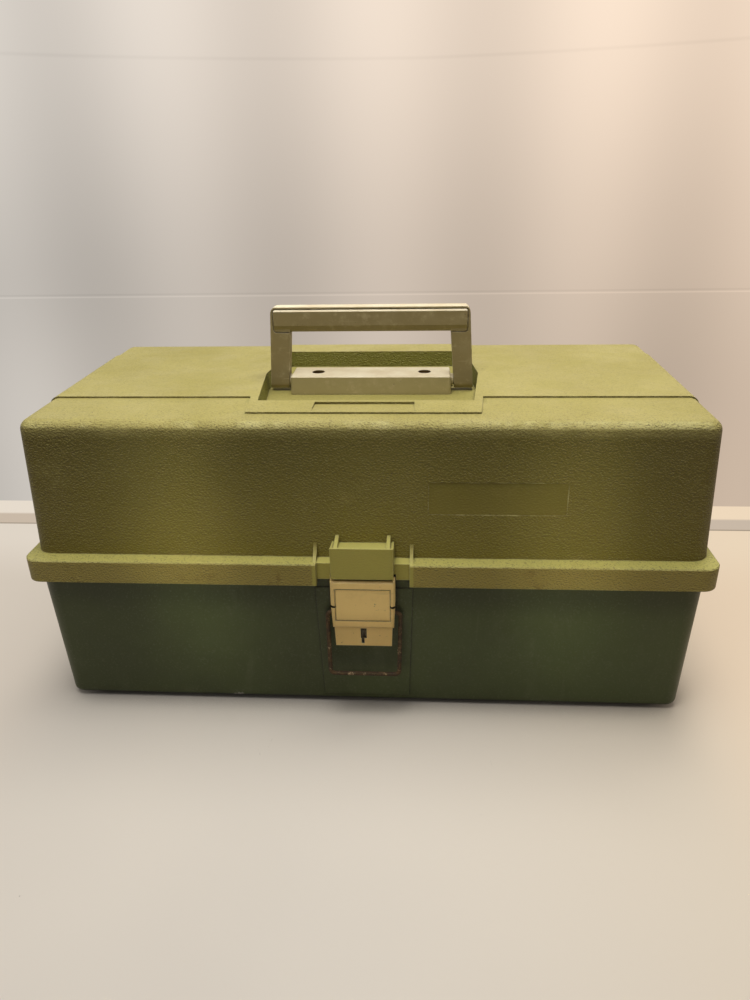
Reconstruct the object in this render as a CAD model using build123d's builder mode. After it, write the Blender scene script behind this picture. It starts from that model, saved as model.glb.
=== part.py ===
# Tackle box: a drafted base, a deep hinged lid with a folding handle, a wire bail latch
# with a key lock, and three trays that swing up and back on parallel arms as the lid opens.
# Millimetres. X points right, Y to the back, Z up. The origin is the middle of the foot.

import os
from math import cos, hypot, radians, sin, tan

from build123d import *

os.makedirs("parts", exist_ok=True)

sides = (-1, 1)
half_share = 0.5
overrun = 1.0
pick_width = 0.05

# Rim round the lid's foot
rim_length = 500.0
rim_depth = 257.8
rim_low = 113.3
rim_height = 17.4
rim_corner = 12.0
rim_wall = 3.0
rim_edge_chamfer = 0.8
ledge_thickness = 3.0
seat_gap = 0.3

# Base, standing inside the rim
skirt_end_gap = 2.3
skirt_front_gap = 3.4
base_corner = 14.0
base_draft = 2.0
base_wall = 2.8
base_floor = 3.0
base_edge_fillet = 5.0
foot_height = 2.2
foot_inset = 9.0

# Lid, standing on the rim's ledge
end_ledge_width = 4.8
front_ledge_width = 12.0
lid_height = 100.9
lid_corner = 14.0
lid_draft = 2.8
lid_wall = 2.8
lid_edge_fillet = 8.0
lid_inner_fillet = 5.0

# Raised band across the lid, the panel round the handle pocket, and the pocket
pocket_middle = 5.2
pocket_side_gap = 4.1
pocket_taper_width = 7.4
pocket_depth = 13.4
pocket_draft = 6.0
pocket_wall = 2.6
panel_front_width = 17.5
panel_border_width = 26.9
panel_inset_width = 0.2
panel_taper_width = 3.6
band_height = 1.3
band_inset_depth = 10.0
band_skirt_height = 20.0
scoop_length = 72.0
scoop_border_width = 3.4
scoop_depth = 1.8
label_length = 95.7
label_height = 24.1
label_offset = 94.2
label_centre_height = 45.8
label_corner = 1.5
label_depth = 0.5

# Folding handle and the bar that carries it
handle_foot_width = 163.8
handle_taper_width = 4.0
handle_leg_width = 15.0
handle_thickness = 10.0
handle_pivot_height = 7.7
handle_foot_distance = 6.1
handle_fold_gap = 12.6
handle_corner = 5.5
handle_foot_fillet = 4.8
handle_top_fillet = 1.6
grip_height = 19.5
grip_thickness = 13.0
grip_end_inset = 2.0
grip_drop_height = 2.5
grip_corner = 1.8
grip_edge_chamfer = 1.2
grip_bevel_height = 5.0
grip_bevel_depth = 2.4
grip_groove_width = 0.8
grip_groove_depth = 0.8
bar_end_gap = 3.2
bar_depth = 28.4
bar_height = 14.7
bar_draft = 2.5
bar_corner = 2.0
bar_edge_chamfer = 0.9
bar_shoulder_radius = 5.4
stub_radius = 3.5
stub_length = 11.0
stub_clearance = 0.06
shoulder_gap = 0.5
screw_end_distance = 20.7
screw_radius = 2.0
screw_length = 22.6
screw_head_radius = 4.8
screw_head_height = 2.0
screw_seat_depth = 4.0
screw_seat_gap = 0.3
screw_slot_width = 1.1
screw_slot_depth = 0.8
screw_clearance = 0.05
screw_boss_radius = 5.0
screw_boss_height = 11.0

# Back hinges
hinge_end_distance = 100.0
hinge_length = 60.0
lid_knuckle_length = 27.4
knuckle_radius = 5.0
knuckle_gap = 0.5
hinge_back_distance = 5.7
hinge_height = 1.7
hinge_pin_radius = 2.0
hinge_running_gap = 0.05
pin_seat_gap = 0.01
hinge_bracket_height = 17.0
hinge_web_height = 10.0

# Keeper and latch bay on the lid's rim
keeper_width = 44.4
keeper_front_depth = 5.6
keeper_low_height = 9.1
keeper_top_height = 16.3
keeper_lip = 1.4
keeper_tray_depth = 1.8
keeper_tray_fall_height = 2.6
keeper_side_lip = 0.8
keeper_rib_inset_width = 3.7
keeper_rib_width = 2.6
keeper_rib_height = 1.3
bay_side_width = 10.35
bay_depth = 2.7
bay_wall = 2.8
bay_low_height = 4.4
bay_panel_foot_width = 66.0
bay_panel_head_width = 71.0
bay_panel_low = 9.0
bay_panel_thickness = 0.8
fin_width = 2.5
fin_height = 10.9
fin_bow_share = 0.3

# Latch lever, its pin and the bracket that holds it on the base
lever_width = 46.3
lever_waist_width = 44.6
lever_flap_head_width = 42.4
lever_flap_foot_width = 41.2
lever_front_depth = 5.3
lever_depth = 10.5
lever_top_gap = 2.1
lever_notch_distance = 21.3
lever_step_distance = 39.3
lever_height = 55.0
lever_plate = 2.2
lever_wall = 2.0
lever_step_depth = 0.8
lever_bevel = 1.4
lever_toe_height = 8.0
lever_side_gap = 0.6
lever_panel_width = 40.6
lever_panel_height = 27.2
lever_panel_distance = 6.1
lever_panel_depth = 0.5
lever_groove_width = 0.9
lever_groove_depth = 1.2
lever_notch_height = 1.6
lever_notch_depth = 3.4
lever_notch_cut = 5.0
lever_pivot_depth = 4.9
lever_pivot_distance = 4.8
lever_pin_radius = 1.5
lever_pin_inset = 0.7
lever_running_gap = 0.05
bracket_width = 36.0
bracket_thickness = 1.6
bracket_border_width = 1.5
ear_offset = 15.0
ear_width = 4.0
ear_radius = 2.5
ear_root_height = 9.0

# Wire bail
bail_wire_radius = 1.6
bail_pivot_depth = 7.7
bail_pivot_distance = 30.2
bail_length = 51.1
bail_tilt = 7.0
bail_side_distance = 3.75
bail_taper_width = 1.1
bail_bend = 3.4
bail_end_inset = 1.6
bail_running_gap = 0.05

# Key lock in the lever's flap and its catch on the bracket
lock_foot_height = 8.7
keyhole_width = 4.4
keyhole_height = 8.6
keyhole_slot_width = 2.1
keyhole_slot_height = 4.5
keyhole_slot_offset = 0.6
keyhole_offset = 2.2
lock_ring_radius = 7.0
lock_ring_height = 3.8
lock_cam_radius = 5.4
lock_cam_thickness = 3.4
lock_running_gap = 0.06
lock_face_gap = 0.2
lock_hub_radius = 3.0
lock_cap_thickness = 1.0
lock_tongue_length = 11.0
lock_tongue_width = 5.0
lock_tongue_thickness = 1.5
lock_slot_length = 6.4
lock_slot_width = 1.6
lock_slot_depth = 2.4
catch_lip = 3.1
catch_wall = 1.8
catch_height = 9.0
catch_gap = 0.4

# Trays, their arms, and the rivets and pins that join them
tray_end_gap = 22.7
tray_front_gap = 12.9
tray_rear_gap = 64.9
tray_low_distance = 15.3
tray_top_gap = 5.9
tray_level_gap = 3.0
tray_wall = 1.8
tray_floor = 1.8
tray_partition = 1.5
tray_corner = 7.0
tray_lip = 1.4
tray_names = ("tray_lower", "tray_middle", "tray_upper")
tray_column_counts = (3, 4, 5)
tray_row_counts = (1, 2, 2)
arm_setback = 32.36
arm_pivot_height = 27.0
arm_pivot_fall_height = 10.5
arm_rear_distance = 54.6
arm_front_distance = 12.0
arm_width = 12.0
arm_thickness = 2.0
arm_gap = 0.4
tray_ear_radius = 6.0
tray_ear_boss = 3.6
rivet_radius = 2.0
rivet_running_gap = 0.05
rivet_seat_gap = 0.02
rivet_head_radius = 4.0
rivet_head_height = 1.3
rivet_head_gap = 0.2
rivet_seat_depth = 1.0
arm_boss_radius = 6.0
rivet_boss_depth = 8.0
link_pin_radius = 2.2
link_pin_depth = 9.0

# Base, lid and rim, worked out from the sizes above
rim_high = rim_low + rim_height
rim_front = rim_depth * half_share
ledge_under = rim_high - ledge_thickness
base_length = rim_length - 2 * (rim_wall + skirt_end_gap)
base_depth = rim_depth - 2 * (rim_wall + skirt_front_gap)
base_top = ledge_under - seat_gap
base_height = base_top - foot_height
lid_length = rim_length - 2 * end_ledge_width
lid_depth = rim_depth - 2 * front_ledge_width
lid_top = rim_high + lid_height
deck_top = lid_top + band_height
hinge_offset = rim_length * half_share - hinge_end_distance
hinge_y = rim_front + hinge_back_distance
hinge_z = rim_low + hinge_height
base_knuckle_length = (hinge_length - lid_knuckle_length) * half_share - knuckle_gap

# Pocket, bar and handle
lid_deck_half = lid_depth * half_share - lid_height * tan(radians(lid_draft))
panel_half_depth = pocket_middle + lid_deck_half - panel_front_width
pocket_half_depth = panel_half_depth - panel_border_width
band_half_depth = pocket_half_depth - band_inset_depth
pocket_mid_width = handle_foot_width + 2 * pocket_side_gap
pocket_end_width = pocket_mid_width - 2 * pocket_taper_width
panel_band_width = pocket_mid_width - 2 * panel_inset_width
panel_end_width = panel_band_width - 2 * panel_taper_width
pocket_floor = deck_top - pocket_depth
bar_length = handle_foot_width - 2 * (handle_leg_width + bar_end_gap)
bar_top = pocket_floor + bar_height
screw_offset = bar_length * half_share - screw_end_distance
screw_seat = bar_top - screw_seat_depth
handle_top_width = handle_foot_width - 2 * handle_taper_width
handle_pivot_z = pocket_floor + handle_pivot_height
handle_foot = handle_pivot_z - handle_foot_distance
handle_top = handle_pivot_z + pocket_half_depth - handle_fold_gap
grip_low = handle_top - grip_height
grip_high = handle_top - grip_drop_height
grip_length = handle_top_width - 2 * grip_end_inset

# Keeper, bay, lever, bail and lock
keeper_front = rim_front + keeper_front_depth
keeper_low = rim_low + keeper_low_height
keeper_high = rim_high + keeper_top_height
keeper_tray_front = keeper_high - keeper_tray_depth
keeper_tray_rear = keeper_tray_front - keeper_tray_fall_height
keeper_rib_top = keeper_high + keeper_rib_height
keeper_rib_offset = keeper_width * half_share - keeper_rib_inset_width
bay_width = lever_width + 2 * bay_side_width
bay_face = rim_front - bay_depth
bay_low = rim_low + bay_low_height
lever_front = rim_front + lever_front_depth
lever_back = lever_front - lever_depth
lever_top = keeper_low - lever_top_gap
lever_notch_z = lever_top - lever_notch_distance
lever_step_z = lever_top - lever_step_distance
lever_foot = lever_top - lever_height
lever_panel_high = lever_top - lever_panel_distance
lever_panel_low = lever_panel_high - lever_panel_height
lever_pivot_y = lever_front - lever_pivot_depth
lever_pivot_z = lever_top - lever_pivot_distance
bail_pivot_y = lever_front - bail_pivot_depth
bail_pivot_z = lever_top - bail_pivot_distance
bail_head_width = lever_width + 2 * bail_side_distance
bail_foot_width = bail_head_width - 2 * bail_taper_width
lock_z = lever_foot + lock_foot_height
flap_back = lever_front - lever_step_depth - lever_plate
ring_back = flap_back - lock_ring_height
cap_back = ring_back - lock_cap_thickness
tongue_front = cap_back - lock_face_gap

# Trays and arms
tray_length = base_length - 2 * tray_end_gap
tray_front = lid_depth * half_share - tray_front_gap
tray_rear = lid_depth * half_share - tray_rear_gap
tray_depth = tray_front + tray_rear
tray_middle_y = (tray_rear - tray_front) * half_share
tray_first_level = rim_low - tray_low_distance
tray_ceiling = pocket_floor - pocket_wall - screw_boss_height - tray_top_gap
tray_level_distance = (tray_ceiling - tray_first_level) / len(tray_names)
tray_height = tray_level_distance - tray_level_gap
tray_end = tray_length * half_share
ear_end = tray_end + tray_ear_boss
arm_inner = ear_end + arm_gap
arm_outer = arm_inner + arm_thickness
boss_face = arm_outer + arm_gap
arm_climb = tray_level_distance - arm_pivot_fall_height
arm_hole_distance = hypot(arm_setback, arm_climb)
arm_length = arm_hole_distance * len(tray_names)
arm_run_y = -arm_setback / arm_hole_distance
arm_run_z = arm_climb / arm_hole_distance
arm_base_z = tray_first_level + arm_pivot_height - arm_climb
arm_rear_y = hinge_y - arm_rear_distance
arm_front_y = arm_front_distance - tray_front - arm_length * arm_run_y
arm_feet = [(arm_rear_y, arm_base_z), (arm_front_y, arm_base_z)]
link_y = hinge_y + arm_run_y * arm_length
link_z = hinge_z + arm_run_z * arm_length


def base_half(size, height):
    """Half an outside size of the base, given at its top edge, at a height."""
    return size * half_share - (base_top - height) * tan(radians(base_draft))


def lid_half(size, height):
    """Half an outside size of the lid, given at its foot, at a height."""
    return size * half_share - (height - rim_high) * tan(radians(lid_draft))


def lid_face(height):
    """The lid's front face at a height, as a place along Y."""
    return -lid_half(lid_depth, height)


def barrel_points(half_depth, end_width, mid_width, mid_half_depth):
    """Plan corners of a shape about the pocket's middle that is widest between its ends."""
    end, mid = end_width * half_share, mid_width * half_share
    front = [(-end, pocket_middle - half_depth), (end, pocket_middle - half_depth)]
    right = [(mid, pocket_middle - mid_half_depth), (mid, pocket_middle + mid_half_depth)]
    back = [(end, pocket_middle + half_depth), (-end, pocket_middle + half_depth)]
    left = [(-mid, pocket_middle + mid_half_depth), (-mid, pocket_middle - mid_half_depth)]
    if mid_half_depth == 0:
        right, left = right[:1], left[:1]
    return front + right + back + left


def save(name, piece):
    """Labels a finished piece and writes it under its node's name."""
    piece.part.label = name
    export_step(piece.part, f"parts/{name}.step")


# Base: a drafted tub with its foot, latch bay panel, hinge brackets and arm bosses
front_wall = Plane(
    origin=(0, -base_depth * half_share, base_top),
    x_dir=(1, 0, 0),
    z_dir=(0, -cos(radians(base_draft)), -sin(radians(base_draft))),
)
foot_trim = 2 * (foot_inset + base_height * tan(radians(base_draft)))

with BuildPart() as base_shell:
    with BuildSketch(Plane.XY.offset(base_top)):
        RectangleRounded(base_length, base_depth, base_corner)
    extrude(amount=-base_height, taper=base_draft)
    fillet(base_shell.edges().group_by(Axis.Z)[0], radius=base_edge_fillet)
    with BuildSketch(Plane.XY.offset(base_top)):
        inside = 2 * base_wall
        RectangleRounded(base_length - inside, base_depth - inside, base_corner - base_wall)
    extrude(amount=base_floor - base_height, taper=base_draft, mode=Mode.SUBTRACT)
    with BuildSketch(Plane.XY.offset(foot_height)):
        RectangleRounded(base_length - foot_trim, base_depth - foot_trim, base_corner)
    extrude(amount=-foot_height)

    # Flat panel behind the latch, a little proud of the wall
    with BuildSketch(front_wall):
        panel_head = rim_low - base_edge_fillet - base_top
        panel_foot = bay_panel_low - base_top
        bay_outline = [
            (-bay_panel_foot_width * half_share, panel_foot),
            (bay_panel_foot_width * half_share, panel_foot),
            (bay_panel_head_width * half_share, panel_head),
            (-bay_panel_head_width * half_share, panel_head),
        ]
        Polygon(*bay_outline, align=None)
    extrude(amount=bay_panel_thickness)

    # Hinge brackets under the rim, two knuckles to each hinge
    bracket_root = base_depth * half_share - base_wall
    bracket_outline = [
        (bracket_root, rim_low - knuckle_gap - hinge_bracket_height),
        (hinge_y, hinge_z - knuckle_radius),
        (hinge_y, rim_low - knuckle_gap),
        (bracket_root, rim_low - knuckle_gap),
    ]
    knuckle_shift = (hinge_length - base_knuckle_length) * half_share
    for side in sides:
        for end in sides:
            with BuildSketch(Plane.YZ.offset(side * hinge_offset + end * knuckle_shift)):
                Polygon(*bracket_outline, align=None)
                with Locations((hinge_y, hinge_z)):
                    Circle(knuckle_radius)
                    Circle(hinge_pin_radius + pin_seat_gap, mode=Mode.SUBTRACT)
            extrude(amount=base_knuckle_length * half_share, both=True)

    # Bosses on the inner end walls for the tray arms
    boss_length = base_half(base_length, arm_base_z) - base_wall * half_share - boss_face
    for side in sides:
        with BuildSketch(Plane.YZ.offset(side * boss_face)):
            with Locations(*arm_feet):
                Circle(arm_boss_radius)
        extrude(amount=side * boss_length)
        with BuildSketch(Plane.YZ.offset(side * boss_face)):
            with Locations(*arm_feet):
                Circle(rivet_radius + rivet_seat_gap)
        extrude(amount=side * rivet_boss_depth, mode=Mode.SUBTRACT)

save("base_shell", base_shell)


# Bracket behind the lever: a plate on the bay panel, two ears for the pin and a hook for the lock
bracket_front = bay_panel_thickness + bracket_thickness * half_share

with BuildPart() as latch_bracket:
    with BuildSketch(front_wall.offset(bay_panel_thickness)):
        plate_high = lever_pivot_z + ear_radius - base_top
        plate_low = lock_z - catch_height * half_share - bracket_border_width - base_top
        with Locations((0, plate_low)):
            Rectangle(bracket_width, plate_high - plate_low, align=(Align.CENTER, Align.MIN))
    extrude(amount=bracket_thickness)
    ear_root = -base_half(base_depth, lever_pivot_z) - bracket_front
    ear_outline = [
        (-lever_pivot_y, lever_pivot_z - ear_radius),
        (ear_root, lever_pivot_z - ear_root_height),
        (ear_root, lever_pivot_z + ear_radius),
        (-lever_pivot_y, lever_pivot_z + ear_radius),
    ]
    for side in sides:
        with BuildSketch(Plane.YZ.offset(side * ear_offset)):
            Polygon(*ear_outline, align=None)
            with Locations((-lever_pivot_y, lever_pivot_z)):
                Circle(ear_radius)
                Circle(lever_pin_radius + pin_seat_gap, mode=Mode.SUBTRACT)
        extrude(amount=ear_width * half_share, both=True)
    # Hook that the lock's tongue turns behind
    catch_root = -base_half(base_depth, lock_z) - bracket_front
    catch_inside = lock_tongue_length + catch_gap
    catch_outside = catch_inside + catch_wall
    lip_back = -(tongue_front + catch_gap)
    lip_front = lip_back - catch_wall
    catch_outline = [
        (catch_inside - catch_lip, lip_front),
        (catch_outside, lip_front),
        (catch_outside, catch_root),
        (catch_inside, catch_root),
        (catch_inside, lip_back),
        (catch_inside - catch_lip, lip_back),
    ]
    with BuildSketch(Plane.XY.offset(lock_z)):
        Polygon(*catch_outline, align=None)
    extrude(amount=catch_height * half_share, both=True)

save("latch_bracket", latch_bracket)


# Lid: rim and drafted body, raised band, handle pocket, keeper, fins, hinge knuckles
lid_front = Plane(
    origin=(0, -lid_depth * half_share, rim_high),
    x_dir=(1, 0, 0),
    z_dir=(0, -cos(radians(lid_draft)), sin(radians(lid_draft))),
)

with BuildPart() as lid_shell:
    with BuildSketch(Plane.XY.offset(rim_low)):
        RectangleRounded(rim_length, rim_depth, rim_corner)
    extrude(amount=rim_high - rim_low)
    chamfer(lid_shell.edges().group_by(Axis.Z)[-1], length=rim_edge_chamfer)
    with BuildSketch(Plane.XY.offset(rim_high)):
        RectangleRounded(lid_length, lid_depth, lid_corner)
    extrude(amount=lid_top - rim_high, taper=lid_draft)
    fillet(lid_shell.edges().group_by(Axis.Z)[-1], radius=lid_edge_fillet)

    # Raised band over the middle, running over both rounded ends
    band_low = lid_top - band_skirt_height
    band_outline = [
        (-lid_half(lid_length, band_low), band_low),
        (lid_half(lid_length, band_low), band_low),
        (lid_half(lid_length, deck_top), deck_top),
        (-lid_half(lid_length, deck_top), deck_top),
    ]
    with BuildSketch(Plane.XZ.offset(-(pocket_middle + band_half_depth))) as band_end:
        Polygon(*band_outline, align=None)
        fillet(band_end.vertices().group_by(Axis.Y)[-1], radius=lid_edge_fillet)
    extrude(amount=2 * band_half_depth)
    with BuildSketch(Plane.XY.offset(deck_top)):
        panel_plan = barrel_points(panel_half_depth, panel_end_width, panel_band_width, band_half_depth)
        Polygon(*panel_plan, align=None)
    extrude(amount=-band_height - lid_wall * half_share)

    # Hollow of the lid, then the wider hollow inside the rim
    with BuildSketch(Plane.XY.offset(ledge_under)):
        inside = 2 * lid_wall
        RectangleRounded(lid_length - inside, lid_depth - inside, lid_corner - lid_wall)
    extrude(amount=lid_top - lid_wall - ledge_under, taper=lid_draft, mode=Mode.SUBTRACT)
    roof = lid_top - lid_wall
    roof_edges = lid_shell.edges().filter_by_position(Axis.Z, roof - pick_width, roof + pick_width)
    fillet(roof_edges, radius=lid_inner_fillet)
    with BuildSketch(Plane.XY.offset(rim_low)):
        inside = 2 * rim_wall
        RectangleRounded(rim_length - inside, rim_depth - inside, rim_corner - rim_wall)
    extrude(amount=ledge_under - rim_low, mode=Mode.SUBTRACT)

    # Tub of the handle pocket, the pocket itself and the finger scoop before it
    pocket_plan = barrel_points(pocket_half_depth, pocket_end_width, pocket_mid_width, 0)
    with BuildSketch(Plane.XY.offset(roof)):
        Polygon(*pocket_plan, align=None)
        offset(amount=pocket_wall, kind=Kind.INTERSECTION)
    extrude(amount=pocket_floor - pocket_wall - roof, taper=pocket_draft)
    with BuildSketch(Plane.XY.offset(deck_top)):
        Polygon(*pocket_plan, align=None)
    extrude(amount=-pocket_depth, taper=pocket_draft, mode=Mode.SUBTRACT)
    scoop_back = pocket_middle - pocket_half_depth - scoop_border_width
    panel_front = pocket_middle - panel_half_depth
    scoop_outline = [
        (panel_front, deck_top),
        (scoop_back, deck_top - scoop_depth),
        (scoop_back, deck_top + overrun),
        (panel_front, deck_top + overrun),
    ]
    with BuildSketch(Plane.YZ):
        Polygon(*scoop_outline, align=None)
    extrude(amount=scoop_length * half_share, both=True, mode=Mode.SUBTRACT)

    # Blind bosses under the pocket for the handle bar's screws
    screw_places = [(side * screw_offset, pocket_middle) for side in sides]
    with BuildSketch(Plane.XY.offset(pocket_floor - pocket_wall)):
        with Locations(*screw_places):
            Circle(screw_boss_radius)
    extrude(amount=-screw_boss_height)
    with BuildSketch(Plane.XY.offset(pocket_floor)):
        with Locations(*screw_places):
            Circle(screw_radius + screw_clearance)
    extrude(amount=screw_seat - screw_length - screw_seat_gap - pocket_floor, mode=Mode.SUBTRACT)

    # Smooth sunk panel where a label would sit
    with BuildSketch(lid_front):
        label_up = label_centre_height / cos(radians(lid_draft))
        with Locations((label_offset, label_up)):
            RectangleRounded(label_length, label_height, label_corner)
    extrude(amount=-label_depth, mode=Mode.SUBTRACT)

    # Latch bay: the rim steps back and up between two fins
    bay_back = bay_face - bay_wall
    with BuildSketch(Plane.XY.offset(rim_low)):
        with Locations((0, -bay_back)):
            Rectangle(bay_width + 2 * fin_width, bay_wall, align=(Align.CENTER, Align.MAX))
    extrude(amount=ledge_under - rim_low)
    bay_cuts = [
        (bay_width, bay_face, rim_high),
        (bay_width, bay_back - seat_gap, bay_low),
        (lever_width + 2 * lever_side_gap, bay_back - seat_gap, keeper_low),
    ]
    for cut_width, cut_back, cut_top in bay_cuts:
        with BuildSketch(Plane.XY.offset(rim_low)):
            with Locations((0, -cut_back)):
                cut_depth = rim_front + overrun - cut_back
                Rectangle(cut_width, cut_depth, align=(Align.CENTER, Align.MAX))
        extrude(amount=cut_top - rim_low, mode=Mode.SUBTRACT)

    # Keeper block: a hooked lip for the bail, a sloping tray behind it and two ribs
    keeper_root = lid_face(keeper_high) + lid_wall * half_share
    lip_inside = keeper_lip - keeper_front
    keeper_outline = [
        (-keeper_front, keeper_low),
        (-bay_back, keeper_low),
        (-bay_back, ledge_under),
        (keeper_root, ledge_under),
        (keeper_root, keeper_high),
        (-keeper_front, keeper_high),
    ]
    with BuildSketch(Plane.YZ):
        Polygon(*keeper_outline, align=None)
    extrude(amount=keeper_width * half_share, both=True)
    keeper_clear = keeper_high + overrun
    side_rear = keeper_tray_rear + keeper_side_lip
    side_outline = [
        (lip_inside, keeper_tray_front + keeper_side_lip),
        (lid_face(side_rear), side_rear),
        (lid_face(keeper_clear), keeper_clear),
        (lip_inside, keeper_clear),
    ]
    with BuildSketch(Plane.YZ):
        Polygon(*side_outline, align=None)
    extrude(amount=keeper_width * half_share + overrun, both=True, mode=Mode.SUBTRACT)
    tray_outline = [
        (lip_inside, keeper_tray_front),
        (lid_face(keeper_tray_rear), keeper_tray_rear),
        (lid_face(keeper_clear), keeper_clear),
        (lip_inside, keeper_clear),
    ]
    with BuildSketch(Plane.YZ):
        Polygon(*tray_outline, align=None)
    extrude(amount=keeper_width * half_share - keeper_lip, both=True, mode=Mode.SUBTRACT)
    rib_root = lid_face(keeper_rib_top) + lid_wall * half_share
    rib_outline = [
        (lip_inside, keeper_tray_front - keeper_lip),
        (rib_root, keeper_tray_rear - keeper_lip),
        (rib_root, keeper_rib_top),
        (lid_face(keeper_rib_top), keeper_rib_top),
        (lip_inside, keeper_tray_front),
    ]
    for side in sides:
        with BuildSketch(Plane.YZ.offset(side * keeper_rib_offset)):
            Polygon(*rib_outline, align=None)
        extrude(amount=keeper_rib_width * half_share, both=True)

    # Fins at the rim's ends, hollowed between the ledge and the lid's face
    fin_top = rim_high + fin_height
    fin_root = lid_face(fin_top) + lid_wall * half_share
    fin_toe = Vector(-rim_front, rim_high - rim_edge_chamfer)
    fin_tip = Vector(lid_face(fin_top), fin_top)
    fin_corner = Vector(lid_face(rim_high), rim_high)
    fin_bow = (fin_toe + fin_tip) * half_share * (1 - fin_bow_share) + fin_corner * fin_bow_share
    for side in sides:
        with BuildSketch(Plane.YZ.offset(side * (bay_width + fin_width) * half_share)):
            with BuildLine():
                ThreePointArc(fin_toe, fin_bow, fin_tip)
                fin_back = [(fin_root, fin_top), (fin_root, ledge_under)]
                Polyline(fin_tip, *fin_back, (-rim_front, ledge_under), fin_toe)
            make_face()
        extrude(amount=fin_width * half_share, both=True)

    # Hinge knuckles on the back of the rim
    knuckle_root = rim_front - rim_wall * half_share
    knuckle_outline = [
        (knuckle_root, rim_low),
        (hinge_y, rim_low),
        (hinge_y, hinge_z + knuckle_radius),
        (knuckle_root, hinge_z + hinge_web_height),
    ]
    for side in sides:
        with BuildSketch(Plane.YZ.offset(side * hinge_offset)):
            Polygon(*knuckle_outline, align=None)
            with Locations((hinge_y, hinge_z)):
                Circle(knuckle_radius)
                Circle(hinge_pin_radius + hinge_running_gap, mode=Mode.SUBTRACT)
        extrude(amount=lid_knuckle_length * half_share, both=True)

    # Bosses inside the ends that lift the upper tray
    link_boss_length = lid_half(lid_length, link_z) - lid_wall * half_share - arm_inner
    for side in sides:
        with BuildSketch(Plane.YZ.offset(side * arm_inner)):
            with Locations((link_y, link_z)):
                Circle(arm_boss_radius)
        extrude(amount=side * link_boss_length)
        with BuildSketch(Plane.YZ.offset(side * arm_inner)):
            with Locations((link_y, link_z)):
                Circle(link_pin_radius + rivet_seat_gap)
        extrude(amount=side * link_pin_depth, mode=Mode.SUBTRACT)

save("lid_shell", lid_shell)


# Hinge pins, one to each hinge
for side, hand in zip(sides, ("left", "right")):
    with BuildPart() as hinge_pin:
        with BuildSketch(Plane.YZ.offset(side * hinge_offset)):
            with Locations((hinge_y, hinge_z)):
                Circle(hinge_pin_radius)
        extrude(amount=hinge_length * half_share, both=True)
    save(f"hinge_pin_{hand}", hinge_pin)


# Handle: a bevelled grip set across a flat U, pivoted at the feet of the U's legs
handle_plane = Plane.XZ.offset(-pocket_middle)
grip_middle = (grip_low + grip_high) * half_share

with BuildPart() as handle:
    with BuildSketch(handle_plane):
        with Locations((0, grip_middle)):
            RectangleRounded(grip_length, grip_high - grip_low, grip_corner)
    extrude(amount=grip_thickness * half_share, both=True)
    grip_face = grip_thickness * half_share
    grip_under = grip_face - grip_bevel_depth
    grip_crown = grip_face - grip_edge_chamfer
    grip_outline = []
    for side in sides:
        half_outline = [
            (pocket_middle + side * grip_under, grip_low),
            (pocket_middle + side * grip_face, grip_low + grip_bevel_height),
            (pocket_middle + side * grip_face, grip_high - grip_edge_chamfer),
            (pocket_middle + side * grip_crown, grip_high),
        ]
        grip_outline += half_outline[::side]
    with BuildSketch(Plane.YZ):
        Polygon(*grip_outline, align=None)
    extrude(amount=grip_length * half_share, both=True, mode=Mode.INTERSECT)

    # The U, open below the grip's bevel
    opening_foot = handle_foot_width * half_share - handle_leg_width
    opening_head = handle_top_width * half_share - handle_leg_width
    handle_outline = [
        (-handle_foot_width * half_share, handle_foot),
        (handle_foot_width * half_share, handle_foot),
        (handle_top_width * half_share, handle_top),
        (-handle_top_width * half_share, handle_top),
    ]
    opening_outline = [
        (-opening_foot, handle_foot),
        (opening_foot, handle_foot),
        (opening_head, grip_low + grip_bevel_height),
        (-opening_head, grip_low + grip_bevel_height),
    ]
    with BuildSketch(handle_plane) as handle_sketch:
        Polygon(*handle_outline, align=None)
        fillet(handle_sketch.vertices().group_by(Axis.Y)[-1], radius=handle_corner)
        Polygon(*opening_outline, align=None, mode=Mode.SUBTRACT)
    extrude(amount=handle_thickness * half_share, both=True)

    # Seen from the side, the feet are round and the top edges are eased
    with BuildSketch(Plane.YZ) as handle_trim:
        with Locations((pocket_middle, handle_foot)):
            stand = (Align.CENTER, Align.MIN)
            Rectangle(handle_thickness, handle_top - handle_foot, align=stand)
        fillet(handle_trim.vertices().group_by(Axis.Y)[0], radius=handle_foot_fillet)
        fillet(handle_trim.vertices().group_by(Axis.Y)[-1], radius=handle_top_fillet)
        with Locations((pocket_middle, grip_middle)):
            Rectangle(grip_thickness, grip_high - grip_low)
    extrude(amount=handle_foot_width * half_share, both=True, mode=Mode.INTERSECT)

    # Groove in the U's faces round the grip
    for side in sides:
        with BuildSketch(Plane.XZ.offset(side * handle_thickness * half_share - pocket_middle)):
            with Locations((0, grip_middle)):
                groove = 2 * grip_groove_width
                groove_corner = grip_corner + grip_groove_width
                RectangleRounded(grip_length + groove, grip_high - grip_low + groove, groove_corner)
                RectangleRounded(grip_length, grip_high - grip_low, grip_corner, mode=Mode.SUBTRACT)
        extrude(amount=-side * grip_groove_depth, mode=Mode.SUBTRACT)
    # Blind sockets for the bar's stubs
    stub_end = bar_length * half_share + stub_length
    with Locations((0, pocket_middle, handle_pivot_z)):
        socket_length = 2 * (stub_end + shoulder_gap)
        Cylinder(stub_radius + stub_clearance, socket_length, rotation=(0, 90, 0), mode=Mode.SUBTRACT)

save("handle", handle)


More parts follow.
